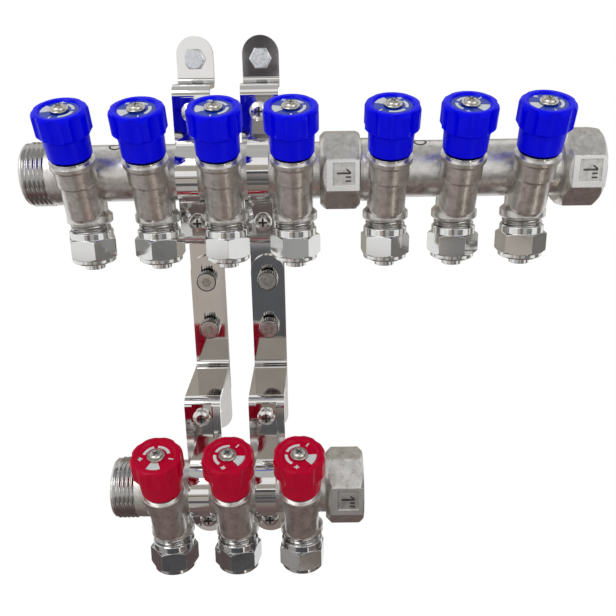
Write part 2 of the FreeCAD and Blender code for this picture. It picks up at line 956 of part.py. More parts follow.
def clamp_screw():
    """Domed screw with a cross recess, along -Z from the face under its head."""
    radius = "clamp_head_d / 2"
    body = turned(
        "ClampScrew",
        [
            ("0", "-clamp_screw_len"),
            ("clamp_screw_d / 2", "-clamp_screw_len"),
            ("clamp_screw_d / 2", "0"),
            (radius, "0"),
            (radius, "clamp_edge_len"),
            ("clamp_dome_d / 2", "clamp_dome_len"),
            ("clamp_cap_d / 2", "clamp_cap_len"),
            ("0", "clamp_head_len"),
        ],
    )
    floor = "clamp_head_len - cross_depth"
    slits = [
        primitive(
            "Box",
            placing("-(%s) / 2" % long, "-(%s) / 2" % wide, floor),
            Length=long,
            Width=wide,
            Height="cross_depth",
        )
        for long, wide in (("cross_len", "cross_wid"), ("cross_wid", "cross_len"))
    ]
    return cut(body, joined("MultiFuse", slits))


def slot_screw():
    """Socket head screw along -Z from the face under its head."""
    radius = "slot_head_d / 2"
    body = turned(
        "SlotScrew",
        [
            ("0", "-2 * strip_thick + slot_tip_back"),
            ("slot_screw_d / 2", "-2 * strip_thick + slot_tip_back"),
            ("slot_screw_d / 2", "0"),
            (radius, "0"),
            (radius, "slot_head_len - slot_head_edge"),
            (radius + " - slot_head_edge", "slot_head_len"),
            ("0", "slot_head_len"),
        ],
    )
    socket = hexagon("socket_flats", "socket_depth", placing(z="slot_head_len - socket_depth"))
    return cut(body, socket)


def wall_bolt():
    """Hexagon wall bolt along -Z from the face under its head."""
    shank = turned(
        "BoltShank",
        [
            ("0", "-strip_thick - wall_shank"),
            ("wall_bolt_d / 2", "-strip_thick - wall_shank"),
            ("wall_bolt_d / 2", "-strip_thick"),
            ("wall_neck_d / 2", "-strip_thick"),
            ("wall_neck_d / 2", "wall_head_len / 2"),
            ("0", "wall_head_len / 2"),
        ],
    )
    prism = hexagon("wall_head_flats", "wall_head_len")
    corner = "wall_head_flats / sqrt(3)"
    envelope = turned(
        "BoltBevel",
        [
            ("0", "0"),
            (corner, "0"),
            (corner, "wall_head_len - wall_crown_len"),
            ("wall_crown_d / 2", "wall_head_len"),
            ("0", "wall_head_len"),
        ],
    )
    return joined("MultiFuse", [shank, common(prism, envelope)])


def facing_out(x, y, z):
    """Placement that turns +Z towards the viewer at a given point."""
    return placing(x, y, z, "90")


def make_fasteners():
    """Clamp screws, slot screws and wall bolts, each kind as one group."""
    clamps = []
    slots = []
    bolts = []
    for x in SIDES.values():
        for spot in DECKS.values():
            y = spot["y"] + " + pipe_d / 2 - strap_thick"
            for reach in (spot["clamp_top"], "-clamp_reach"):
                clamps.append(put(clamp_screw(), facing_out(x, y, "%s + %s" % (spot["z"], reach))))
        for step in ("0", "slot_pitch"):
            z = "-bolt_rise - slot_drop - %s" % step
            slots.append(put(slot_screw(), facing_out(x, "-2 * strip_thick", z)))
        bolts.append(put(wall_bolt(), facing_out(x, "-strip_thick", "0")))
    node(joined("Compound", clamps), "clamp_screws")
    node(joined("Compound", slots), "slot_screws")
    node(joined("Compound", bolts), "wall_bolts")


for bar_name, bar_plan in BARS.items():
    make_bar(bar_name, bar_plan)
turns_left = list(NUT_TURNS)
for bar_name, bar_plan in BARS.items():
    count = len(bar_plan["valves"])
    make_valves(bar_name, bar_plan, turns_left[:count])
    turns_left = turns_left[count:]
for side_name, side_x in SIDES.items():
    make_wall_bracket(side_name, side_x)
    make_drop_bracket(side_name, side_x)
    for deck_name in DECKS:
        make_strap("%s_%s" % (deck_name, side_name), deck_name, side_x)
make_fasteners()
doc.recompute()

# Check every object, then write the sub-parts

for item in doc.Objects:
    if "Invalid" in item.State or "Error" in item.State:
        raise RuntimeError("%s failed: %s" % (item.Label, item.State))
for item in NODES:
    if item.Shape.isNull() or not item.Shape.isValid():
        raise RuntimeError("%s has no valid shape" % item.Label)
os.makedirs("parts", exist_ok=True)
for item in NODES:
    item.Shape.exportStep("parts/%s.step" % item.Label)
print("%d sub-parts written" % len(NODES))
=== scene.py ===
import json
import math

import bpy
from mathutils import Matrix, Vector


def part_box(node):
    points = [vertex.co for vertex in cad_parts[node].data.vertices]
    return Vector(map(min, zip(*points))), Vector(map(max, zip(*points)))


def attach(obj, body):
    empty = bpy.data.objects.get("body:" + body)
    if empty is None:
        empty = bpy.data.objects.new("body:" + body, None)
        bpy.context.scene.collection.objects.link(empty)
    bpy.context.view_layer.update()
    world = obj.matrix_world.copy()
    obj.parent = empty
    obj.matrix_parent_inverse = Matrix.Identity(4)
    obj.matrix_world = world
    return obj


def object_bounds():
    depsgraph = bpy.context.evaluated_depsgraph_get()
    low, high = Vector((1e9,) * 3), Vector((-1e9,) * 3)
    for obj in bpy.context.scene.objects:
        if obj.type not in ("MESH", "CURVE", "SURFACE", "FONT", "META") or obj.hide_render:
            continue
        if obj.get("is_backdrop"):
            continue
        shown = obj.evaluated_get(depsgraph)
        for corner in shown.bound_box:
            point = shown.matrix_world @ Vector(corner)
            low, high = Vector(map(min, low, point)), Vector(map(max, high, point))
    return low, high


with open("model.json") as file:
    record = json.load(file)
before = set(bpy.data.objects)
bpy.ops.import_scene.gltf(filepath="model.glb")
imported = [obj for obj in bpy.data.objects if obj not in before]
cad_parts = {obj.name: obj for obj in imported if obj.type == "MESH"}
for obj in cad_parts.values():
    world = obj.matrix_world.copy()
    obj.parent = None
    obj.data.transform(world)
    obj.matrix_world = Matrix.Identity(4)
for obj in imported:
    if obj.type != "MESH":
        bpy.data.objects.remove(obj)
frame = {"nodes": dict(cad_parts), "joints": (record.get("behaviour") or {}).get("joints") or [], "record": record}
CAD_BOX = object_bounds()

# Looks of the water distribution manifold: finishes, threads, printed marks, screws and studio.
# Metres, in the frame of the solids: +X along the bars, +Y into the wall, +Z up.

MM = 0.001
RIGHT = Vector((1.0, 0.0, 0.0))
LEFT = Vector((-1.0, 0.0, 0.0))
BACK = Vector((0.0, 1.0, 0.0))
FRONT = Vector((0.0, -1.0, 0.0))
UP = Vector((0.0, 0.0, 1.0))
DOWN = Vector((0.0, 0.0, -1.0))

NODES = frame["nodes"]
MOUNTS = {mount["name"]: mount for mount in frame["record"]["mounts"]}
HINGES = [joint for joint in frame["joints"] if joint["type"] == "hinge"]
VALVES = {joint["name"].removeprefix("turn_"): joint for joint in HINGES}

# Turn of the lower bar about its axis
LOWER_TURN = math.radians(-4.5)

# Finishes: noise of the colour and roughness, fine grain, softened edges
NOISE_ROUGHNESS = 0.72
RAMP_START = 0.25
RAMP_END = 0.75
BLOTCH_DETAIL = 5.0
GRAIN_DETAIL = 2.0
GRAIN_SCALE = 2200.0
GRAIN_DEEP = 0.15 * MM
EDGE_SAMPLES = 6
CAST_EDGE = 0.9 * MM
CUT_EDGE = 0.3 * MM

# Meshes
TURN_SIDES = 40
SHARP_ANGLE = math.radians(38)

# Threads; the ridge's profile is in shares of its rise and pitch, its fade in turns
THREAD_STEPS = 48
THREAD_FADE = 0.25
THREAD_PROFILE = ((0.0, -0.48), (1.0, -0.1), (1.0, 0.1), (0.0, 0.48))
PIPE_PITCH = 2.309 * MM
PIPE_RIDGE = 0.62 * MM
PIPE_ENDS = (
    ("_male_end", "_pipe_thread", PIPE_RIDGE),
    ("_female_end", "_tapped_thread", -PIPE_RIDGE),
)
OUTLET_PITCH = 1.5 * MM
OUTLET_RIDGE = 0.5 * MM
OUTLET_ROOT = 9.8 * MM
OUTLET_RISE = 20.25 * MM
OUTLET_RUN = 3.6 * MM

# Knob top: height of its dish above the valve's base point, a disc of painted reflection on the dish, and the
# printed marks
DISH_LEVEL = 37.2 * MM
DISH_R = 9.2 * MM
DISH_HALF = 0.02 * MM
PRINT_THICK = 0.06 * MM
ARC_IN = 5.7 * MM
ARC_OUT = 7.2 * MM
ARC_STEPS = 14
ARC_SPANS = ((100, 160), (178, 250))
WEDGE_OUT = 8.8 * MM
WEDGE_HALF = 24
SIGN_REACH = 8.0 * MM
SIGN_LONG = 2.6 * MM
SIGN_WIDE = 0.75 * MM
PLUS_CLOCK = 76
PLUS_HEIGHTS = (PRINT_THICK, 1.2 * PRINT_THICK)
MINUS_CLOCK = -80

# Clock angle of the printed wedge on each knob, clockwise from the wall side
WEDGE_CLOCK = {
    "blue_1": 282,
    "blue_2": 244,
    "blue_3": 266,
    "blue_4": 258,
    "blue_5": 312,
    "blue_6": 122,
    "blue_7": 250,
    "red_1": 182,
    "red_2": 115,
    "red_3": 112,
}

# Knob screw: boss of painted shade under the washer, the washer, and a head with its profile in shares of its
# radius and height
BOSS_R = 3.6 * MM
BOSS_TALL = 0.5 * MM
WASHER_R = 4.4 * MM
WASHER_TALL = 0.7 * MM
WASHER_EDGE = 0.15 * MM
HEAD_R = 3.3 * MM
HEAD_TALL = 1.5 * MM
HEAD_PROFILE = ((1.0, 0.0), (0.95, 0.45), (0.75, 0.8), (0.5, 1.0))
CROSS_CLOCK = 20
CROSS_LONG = 3.4 * MM
CROSS_WIDE = 0.7 * MM
CROSS_SINK = 0.5 * MM
CROSS_HEIGHTS = (0.55 * MM, 0.56 * MM)

# Size mark on the octagons: raised frame, painted shadow lines along its inner edges, and the mark itself, dark
# with painted shade
OCTAGON_HALF = 19.15 * MM
PLAQUE_RISE = 0.65 * MM
PLAQUE_LONG = 16.4 * MM
PLAQUE_TALL = 15.4 * MM
PLAQUE_INSET = 0.9 * MM
PANEL_LONG = 11.2 * MM
PANEL_TALL = 11.4 * MM
PANEL_SHIFT = 0.4 * MM
PANEL_LIFT = 0.7 * MM
SHADOW_LINE_WIDE = 0.35 * MM
SHADOW_LINE_RISE = 0.3 * MM
MARK_RISE = 0.45 * MM
STEM_LONG = 7.0 * MM
STEM_WIDE = 1.0 * MM
STEM_LIFT = 0.3 * MM
FLAG_BACK = 1.2 * MM
FLAG_SLANT = 38
TICK_LONG = 2.6 * MM
TICK_WIDE = 0.8 * MM
TICK_DROPS = (1.9 * MM, 3.9 * MM)

# Stamped rings on the upper tubes, painted as shade, by their places along X
STAMPS = {"left": -55.3 * MM, "right": 100.8 * MM}
PIPE_R = 14.6 * MM
RING_IN = 2.5 * MM
RING_OUT = 3.5 * MM
RING_LIFT = 0.05 * MM
RING_TURN = math.radians(75)
RING_STEPS = 32

# Knurled heads of the slot screws, with painted shade between the ridges and in their sockets
SLOT_HEAD_R = 5.6 * MM
SLOT_HEAD_TALL = 5.4 * MM
KNURL_COUNT = 26
KNURL_RISE = 0.45 * MM
KNURL_FOOT = 0.1 * MM
KNURL_BACK = 0.15 * MM
VALLEY_SHADE_RISE = 0.12 * MM
SOCKET_FLATS = 4.7 * MM
SOCKET_SINK = 1.0 * MM
SOCKET_TALL = 0.8 * MM

# Cross recesses of the clamp screws, from the bar axis
CLAMP_SPREAD = 18.0 * MM
CLAMP_UP = {"upper": 29.5 * MM, "lower": 36.5 * MM}
CLAMP_DOWN = 29.5 * MM
RECESS_BACK = 11.0 * MM
RECESS_LONG = 4.6 * MM
RECESS_WIDE = 0.95 * MM
RECESS_HEIGHTS = (1.2 * MM, 1.224 * MM)

# World and floor
WHITE = (1.0, 1.0, 1.0, 1.0)
WHITE_STRENGTH = 1.0
WORLD_STRENGTH = 0.5
FLOOR_COLOURS = ((0.82, 0.82, 0.82), (0.86, 0.86, 0.86))
FLOOR_ROUGHNESS = (0.6, 0.7)
FLOOR_BLOTCH = 3.0
FLOOR_GLOW = 1.05
FLOOR_WHITE_SHARE = 0.92
FLOOR_SIDE = 8.0
FLOOR_LEVEL = -0.9

# Cards that only the metal reflects: facing, size, centre, and the two shades it wanders between
CARD_BLOTCH = 2.5
CARD_DETAIL = 3.0
CARDS = {
    "below_left": (UP, (1.9, 2.2), (-1.07, -0.9, -0.75), (0.42, 0.40, 0.385), (0.54, 0.515, 0.50)),
    "below_right": (UP, (2.1, 2.2), (0.93, -0.9, -0.75), (0.20, 0.165, 0.145), (0.32, 0.27, 0.24)),
    "below_near": (UP, (1.2, 0.24), (0.0, -0.31, -0.74), (0.16, 0.105, 0.105), (0.23, 0.165, 0.16)),
    "below_glint": (UP, (0.05, 0.6), (0.50, -0.56, -0.735), (2.6, 2.5, 2.2), (3.4, 3.25, 2.9)),
    "below_far": (UP, (1.3, 0.36), (0.15, -0.97, -0.74), (0.08, 0.08, 0.085), (0.14, 0.14, 0.145)),
    "under": (UP, (2.0, 0.6), (0.0, 0.11, -0.74), (0.12, 0.09, 0.085), (0.19, 0.145, 0.14)),
    "above": (DOWN, (4.0, 1.5), (0.0, -0.2, 1.3), (0.48, 0.48, 0.47), (0.58, 0.58, 0.57)),
    "behind": (FRONT, (2.4, 1.6), (0.0, 1.3, 0.0), (0.34, 0.31, 0.27), (0.46, 0.43, 0.38)),
    "front_high": (BACK, (0.38, 0.5), (-0.16, -1.4, 0.48), (0.37, 0.34, 0.30), (0.47, 0.44, 0.39)),
    "front_left": (
        BACK, (0.57, 0.7), (-0.465, -1.4, -0.55), (0.46, 0.41, 0.365), (0.56, 0.51, 0.46)
    ),
    "front_slate": (
        BACK, (0.21, 0.45), (-0.073, -1.4, -0.675), (0.08, 0.083, 0.09), (0.115, 0.12, 0.13)
    ),
    "front_tab": (
        BACK, (0.10, 0.20), (-0.075, -1.4, 0.03), (0.05, 0.045, 0.05), (0.085, 0.08, 0.085)
    ),
    "front_grey": (
        BACK, (0.11, 0.24), (-0.075, -1.4, -0.19), (0.20, 0.19, 0.18), (0.30, 0.28, 0.27)
    ),
    "front_brown": (
        BACK, (0.40, 0.09), (-0.15, -1.39, -0.365), (0.085, 0.066, 0.062), (0.14, 0.112, 0.105)
    ),
    "front_right": (
        BACK, (1.7, 0.49), (0.885, -1.4, -0.095), (0.84, 0.84, 0.84), (0.98, 0.98, 0.98)
    ),
    "front_low": (
        BACK, (0.683, 0.6), (0.164, -1.41, -0.60), (0.34, 0.34, 0.335), (0.46, 0.46, 0.455)
    ),
    "front_end": (
        BACK, (0.9, 0.56), (0.96, -1.4, -0.62), (0.15, 0.15, 0.145), (0.25, 0.25, 0.245)
    ),
    "side_right": (LEFT, (0.85, 1.2), (1.6, -0.02, -0.2), (0.16, 0.15, 0.14), (0.26, 0.25, 0.24)),
}

# Lamps, aimed at the object's middle: place and power
MIDDLE = Vector((0.04, -0.04, -0.14))
LAMP_SIDE = 0.9
LAMPS = {"key": (Vector((-0.7, -1.0, 1.1)), 9.0), "fill": (Vector((1.1, -1.1, 0.5)), 3.5)}

# Camera
CAMERA_AT = Vector((0.0461, -0.4297, -0.0001))
PITCH = math.radians(18.7)
YAW = math.radians(-0.59)
ROLL = math.radians(-0.97)
FOCAL_PX = 740.0
IMAGE_PX = 616.0
SENSOR_MM = 36.0
CLIP_NEAR = 0.01
CLIP_FAR = 50.0


# Materials


def noise_into(tree, scale, detail):
    """A noise texture in object coordinates; gives its node."""
    place = tree.nodes.new("ShaderNodeTexCoord")
    noise = tree.nodes.new("ShaderNodeTexNoise")
    noise.inputs["Scale"].default_value = scale
    noise.inputs["Detail"].default_value = detail
    noise.inputs["Roughness"].default_value = NOISE_ROUGHNESS
    tree.links.new(place.outputs["Object"], noise.inputs["Vector"])
    return noise


def ramp_from(tree, source, low, high):
    """A colour ramp between two values, driven by a noise."""
    ramp = tree.nodes.new("ShaderNodeValToRGB")
    ramp.color_ramp.elements[0].position = RAMP_START
    ramp.color_ramp.elements[0].color = (*low, 1.0)
    ramp.color_ramp.elements[1].position = RAMP_END
    ramp.color_ramp.elements[1].color = (*high, 1.0)
    tree.links.new(source.outputs["Fac"], ramp.inputs["Fac"])
    return ramp


def finish(
    name,
    colours,
    roughness,
    blotch,
    metallic=1.0,
    grain=0.0,
    grain_scale=GRAIN_SCALE,
    shine=0.5,
    edge=0.0,
):
    """A finish whose colour and roughness wander, with optional fine grain and softened edges."""
    made = bpy.data.materials.new(name)
    made.use_nodes = True
    tree = made.node_tree
    shader = tree.nodes["Principled BSDF"]
    shader.inputs["Metallic"].default_value = metallic
    shader.inputs["Specular IOR Level"].default_value = shine
    wander = noise_into(tree, blotch, BLOTCH_DETAIL)
    colour = ramp_from(tree, wander, *colours)
    tree.links.new(colour.outputs["Color"], shader.inputs["Base Color"])
    rough = ramp_from(tree, wander, (roughness[0],) * 3, (roughness[1],) * 3)
    tree.links.new(rough.outputs["Color"], shader.inputs["Roughness"])
    normal = None
    if edge:
        soft = tree.nodes.new("ShaderNodeBevel")
        soft.samples = EDGE_SAMPLES
        soft.inputs["Radius"].default_value = edge
        normal = soft.outputs["Normal"]
    if grain:
        speckle = noise_into(tree, grain_scale, GRAIN_DETAIL)
        bump = tree.nodes.new("ShaderNodeBump")
        bump.inputs["Strength"].default_value = grain
        bump.inputs["Distance"].default_value = GRAIN_DEEP
        tree.links.new(speckle.outputs["Fac"], bump.inputs["Height"])
        if edge:
            tree.links.new(normal, bump.inputs["Normal"])
        normal = bump.outputs["Normal"]
    if normal:
        tree.links.new(normal, shader.inputs["Normal"])
    return made


SATIN = finish(
    "satin_nickel",
    ((0.44, 0.425, 0.405), (0.82, 0.80, 0.77)),
    (0.24, 0.38),
    260.0,
    grain=0.5,
    grain_scale=1200.0,
    edge=CAST_EDGE,
)
BRIGHT = finish(
    "bright_nickel", ((0.66, 0.66, 0.65), (0.75, 0.75, 0.74)), (0.09, 0.13), 140.0, edge=CUT_EDGE
)
# Painted shade: a darker copy of the bright nickel for the nuts of the lower bar.
SHADED_NICKEL = finish(
    "shaded_nickel",
    ((0.46, 0.465, 0.475), (0.58, 0.585, 0.595)),
    (0.09, 0.14),
    140.0,
    edge=CUT_EDGE,
)
# Painted shade: a darker nickel for the thread ridges, standing in for shade in their grooves; the ridges are real
# geometry. Also the plaques' painted shadow lines.
THREAD = finish("cut_thread_groove_shade", ((0.31, 0.30, 0.29), (0.42, 0.41, 0.40)), (0.14, 0.2), 300.0)
BRASS = finish(
    "bare_brass", ((0.52, 0.36, 0.15), (0.66, 0.48, 0.22)), (0.2, 0.32), 160.0, grain=0.1
)
BLUE = finish(
    "blue_plastic",
    ((0.0, 0.0, 0.84), (0.0, 0.001, 0.95)),
    (0.22, 0.28),
    60.0,
    metallic=0.0,
    shine=0.08,
)
# Painted reflection: a darker teal-blue for the dish of the blue knobs.
DISH_REFLECTION = finish(
    "blue_dish_reflection",
    ((0.0, 0.012, 0.30), (0.0, 0.05, 0.46)),
    (0.2, 0.3),
    240.0,
    metallic=0.0,
    shine=0.3,
)
RED = finish(
    "red_plastic",
    ((0.47, 0.0, 0.022), (0.56, 0.0, 0.034)),
    (0.2, 0.26),
    60.0,
    metallic=0.0,
    shine=0.1,
)
CHROME = finish("bracket_chrome", ((0.70, 0.69, 0.68), (0.77, 0.76, 0.75)), (0.04, 0.08), 70.0)
STEEL = finish("screw_steel", ((0.60, 0.585, 0.55), (0.76, 0.745, 0.71)), (0.14, 0.26), 260.0)
ZINC = finish(
    "zinc_bolt",
    ((0.54, 0.56, 0.58), (0.80, 0.82, 0.84)),
    (0.14, 0.3),
    420.0,
    grain=0.6,
    grain_scale=900.0,
)
PRINT = finish(
    "printed_mark", ((0.56, 0.60, 0.60), (0.74, 0.77, 0.76)), (0.35, 0.5), 500.0, metallic=0.0
)
# Painted shade: a near-black finish laid into recesses, gaps and grooves where shade falls.
SHADE = finish(
    "painted_recess_shade", ((0.018, 0.016, 0.014), (0.05, 0.045, 0.04)), (0.45, 0.6), 400.0, metallic=0.3
)
# Painted shade: a near-black metal that makes the raised size mark look dark.
MARK_SHADE = finish(
    "painted_shade_mark", ((0.07, 0.065, 0.06), (0.15, 0.14, 0.13)), (0.35, 0.45), 300.0
)
FRAME = finish(
    "bright_frame", ((0.74, 0.735, 0.725), (0.88, 0.875, 0.865)), (0.2, 0.3), 160.0, grain=0.08
)
# A dull tone of the knob screw heads; on the floors of the slot screw sockets it is painted shade.
WORN_AND_SOCKET_SHADE = finish(
    "worn_screw_and_socket_shade", ((0.36, 0.345, 0.31), (0.62, 0.60, 0.55)), (0.16, 0.3), 420.0, grain=0.2
)

# Finish of each CAD node, by the start of its name
LOOKS = {
    "bar": SATIN,
    "bonnets": BRIGHT,
    "nuts": BRIGHT,
    "nuts_lower": SHADED_NICKEL,
    "inserts": BRIGHT,
    "olives": BRASS,
    "stem": BRASS,
    "plug": BRASS,
    "wall_bracket": CHROME,
    "drop_bracket": CHROME,
    "strap": CHROME,
    "clamp_screws": STEEL,
    "slot_screws": STEEL,
    "wall_bolts": ZINC,
    "knob_blue": BLUE,
    "knob_red": RED,
}


def dress_nodes():
    """Give every CAD node its finish, by the longest matching start of its name."""
    for name, item in NODES.items():
        key = max((start for start in LOOKS if name.startswith(start)), key=len)
        item.data.materials.clear()
        item.data.materials.append(LOOKS[key])


# Placements and points


def axes_place(origin, z_axis, x_axis=RIGHT):
    """Placement at a point with Z along one direction and X near another."""
    z = z_axis.normalized()
    x = (x_axis - z * x_axis.dot(z)).normalized()
    y = z.cross(x)
    turn = Matrix((x, y, z)).transposed().to_4x4()
    return Matrix.Translation(origin) @ turn


def shifted(place, x, y):
    """A placement moved along its own X and Y."""
    return place @ Matrix.Translation((x, y, 0.0))


def spin(degrees):
    """A clockwise turn about Z."""
    return Matrix.Rotation(-math.radians(degrees), 4, "Z")


def dish_place(valve, degrees):
    """Placement on the dish of a valve's knob, turned clockwise from the wall side."""
    joint = VALVES[valve]
    axis = Vector(joint["axis"])
    return axes_place(Vector(joint["pos_m"]) + axis * DISH_LEVEL, axis) @ spin(degrees)


def slot_screw_places(back):
    """Placements in the heads of the slot screws, some way behind their faces, with Z inwards."""
    low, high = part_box("slot_screws")
    for x in (low.x + SLOT_HEAD_R, high.x - SLOT_HEAD_R):
        for z in (low.z + SLOT_HEAD_R, high.z - SLOT_HEAD_R):
            yield axes_place((x, low.y + back, z), BACK)


def rectangle(long, wide):
    """Corners of a rectangle centred on the origin."""
    x = long / 2
    y = wide / 2
    return [(-x, -y), (x, -y), (x, y), (-x, y)]


def clock(radius, degrees):
    """A point at a clock angle: clockwise from +Y."""
    angle = math.radians(degrees)
    return radius * math.sin(angle), radius * math.cos(angle)


def polar(radius, angle, height):
    """A point at an angle about Z, from +X."""
    return radius * math.cos(angle), radius * math.sin(angle), height


# Shapes


class Shape:
    """A mesh gathered from several simple shapes."""

    def __init__(self):
        self.points = []
        self.faces = []

    def add(self, points, faces, place):
        """Add points, moved by a placement, and the faces between them."""
        first = len(self.points)
        self.points += [place @ Vector(point) for point in points]
        self.faces += [tuple(first + index for index in face) for face in faces]

    def turned(self, profile, place, capped=True):
        """A surface turned about Z from (radius, height) pairs."""
        points = []
        for radius, height in profile:
            for side in range(TURN_SIDES):
                points.append(polar(radius, math.tau * side / TURN_SIDES, height))
        faces = []
        last = (len(profile) - 1) * TURN_SIDES
        for low in range(0, last, TURN_SIDES):
            high = low + TURN_SIDES
            for side in range(TURN_SIDES):
                after = (side + 1) % TURN_SIDES
                faces.append((low + side, low + after, high + after, high + side))
        if capped:
            faces.append(tuple(range(last, last + TURN_SIDES)))
        self.add(points, faces, place)

    def plate(self, outline, thick, place):
        """A flat plate on XY with a given outline, standing up Z."""
        count = len(outline)
        points = [(x, y, 0.0) for x, y in outline] + [(x, y, thick) for x, y in outline]
        faces = [tuple(reversed(range(count))), tuple(range(count, 2 * count))]
        for index in range(count):
            after = (index + 1) % count
            faces.append((index, after, count + after, count + index))
        self.add(points, faces, place)

    def box(self, long, wide, tall, place):
        """A box centred on XY, standing up Z."""
        self.plate(rectangle(long, wide), tall, place)

    def cross(self, long, wide, heights, place):
        """Two boxes across each other, of different heights so that no two faces coincide."""
        self.box(long, wide, heights[0], place)
        self.box(wide, long, heights[1], place)

    def band(self, inner, outer, thick, place):
        """A flat sector between two outlines with the same number of points."""
        count = len(inner)
        points = []
        for level in (0.0, thick):
            points += [(x, y, level) for x, y in inner]
            points += [(x, y, level) for x, y in outer]
        faces = []
        for index in range(count - 1):
            corners = (index, index + 1, count + index + 1, count + index)
            faces.append(tuple(2 * count + corner for corner in reversed(corners)))
            faces.append(corners)
            for low, high in ((index, index + 1), (count + index + 1, count + index)):
                faces.append((low, 2 * count + low, 2 * count + high, high))
        for index in (0, count - 1):
            faces.append((index, count + index, 3 * count + index, 2 * count + index))
        self.add(points, faces, place)

    def thread(self, root, rise, pitch, run, place):
        """A screw ridge about Z, fading out at both ends."""
        turns = run / pitch - 1.0
        count = int(turns * THREAD_STEPS)
        fading = THREAD_FADE * THREAD_STEPS
        points = []
        for step in range(count + 1):
            angle = math.tau * step / THREAD_STEPS
            fade = min(1.0, step / fading, (count - step) / fading)
            middle = pitch * (step / THREAD_STEPS + 0.5)
            for height, along in THREAD_PROFILE:
                points.append(polar(root + rise * fade * height, angle, middle + along * pitch))
        faces = []
        corners = len(THREAD_PROFILE)
        for low in range(0, count * corners, corners):
            high = low + corners
            for corner in range(corners - 1):
                after = corner + 1
                faces.append((low + corner, high + corner, high + after, low + after))
        self.add(points, faces, place)

    def made(self, name, look, body):
        """Make the piece, riding on a body."""
        mesh = bpy.data.meshes.new(name)
        mesh.from_pydata([tuple(point) for point in self.points], [], self.faces)
        mesh.polygons.foreach_set("use_smooth", [True] * len(mesh.polygons))
        mesh.set_sharp_from_angle(angle=SHARP_ANGLE)
        mesh.materials.append(look)
        item = bpy.data.objects.new(name, mesh)
        bpy.context.scene.collection.objects.link(item)
        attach(item, body)


# Threads


def make_pipe_threads():
    """Ridges on the male ends and inside the tapped ends of the bars."""
    for deck in ("upper", "lower"):
        for end, piece, rise in PIPE_ENDS:
            mount = MOUNTS[deck + end]
            run = mount["dims"]["length_mm"] * MM
            root = mount["dims"]["r_mm"] * MM
            axis = Vector(mount["axis"])
            start = Vector(mount["pos_m"]) + axis * (run / 2)
            ridge = Shape()
            ridge.thread(root, rise, PIPE_PITCH, run, axes_place(start, -axis, UP))
            ridge.made(deck + piece, THREAD, "rack")


def make_outlet_threads():
    """Ridges on the stretch of outlet between its collar and the clamp nut."""
    run = OUTLET_RUN + OUTLET_PITCH
    for valve in VALVES:
        tail = MOUNTS["hose_tail_" + valve]
        axis = Vector(tail["axis"])
        top = Vector(tail["pos_m"]) - axis * OUTLET_RISE
        ridge = Shape()
        ridge.thread(OUTLET_ROOT, OUTLET_RIDGE, OUTLET_PITCH, run, axes_place(top, axis))
        ridge.made("outlet_thread_" + valve, THREAD, "rack")


# Knob tops


def print_sector(marks, inner, outer, start, end, place):
    """A printed arc between two clock angles."""
    angles = [start + (end - start) * step / ARC_STEPS for step in range(ARC_STEPS + 1)]
    edges = [[clock(radius, angle) for angle in angles] for radius in (inner, outer)]
    marks.band(*edges, PRINT_THICK, place)


def sign_place(place, degrees):
    """Placement of a printed sign at a clock angle of a knob's top."""
    return shifted(place, *clock(SIGN_REACH, degrees)) @ spin(degrees)


def make_knob_marks(valve):
    """Printed wedge, arcs and signs on a knob's dish; on blue knobs a darker teal-blue disc under them is a
    painted reflection on the dish.
    """
    place = dish_place(valve, WEDGE_CLOCK[valve])
    if valve.startswith("blue"):
        dish = Shape()
        dish.turned([(DISH_R, -DISH_HALF), (DISH_R, DISH_HALF)], place)
        dish.made("dish_" + valve, DISH_REFLECTION, "handle_" + valve)
    marks = Shape()
    print_sector(marks, WASHER_R, WEDGE_OUT, -WEDGE_HALF, WEDGE_HALF, place)
    for start, end in ARC_SPANS:
        print_sector(marks, ARC_IN, ARC_OUT, start, end, place)
    marks.cross(SIGN_LONG, SIGN_WIDE, PLUS_HEIGHTS, sign_place(place, PLUS_CLOCK))
    marks.box(SIGN_WIDE, SIGN_LONG, PRINT_THICK, sign_place(place, MINUS_CLOCK))
    marks.made("marks_" + valve, PRINT, "handle_" + valve)


def make_knob_screw(valve):
    """Screw with a washer on a knob's top; the boss under the washer and the cross recess are inlays of painted
    shade.
    """
    place = dish_place(valve, WEDGE_CLOCK[valve] + CROSS_CLOCK)
    boss = Shape()
    boss.turned([(BOSS_R, 0.0), (BOSS_R, BOSS_TALL)], place)
    boss.made("boss_" + valve, SHADE, "handle_" + valve)
    top = BOSS_TALL + WASHER_TALL
    washer = [
        (BOSS_R, BOSS_TALL),
        (WASHER_R, BOSS_TALL),
        (WASHER_R, top - WASHER_EDGE),
        (WASHER_R - WASHER_EDGE, top),
    ]
    dome = [(HEAD_R * wide, top + HEAD_TALL * high) for wide, high in HEAD_PROFILE]
    head = Shape()
    head.turned(washer + dome, place)
    head.made("screw_" + valve, WORN_AND_SOCKET_SHADE, "handle_" + valve)
    floor = place @ Matrix.Translation((0.0, 0.0, top + HEAD_TALL - CROSS_SINK))
    recess = Shape()
    recess.cross(CROSS_LONG, CROSS_WIDE, CROSS_HEIGHTS, floor)
    recess.made("cross_" + valve, SHADE, "handle_" + valve)


# Size marks and stamps


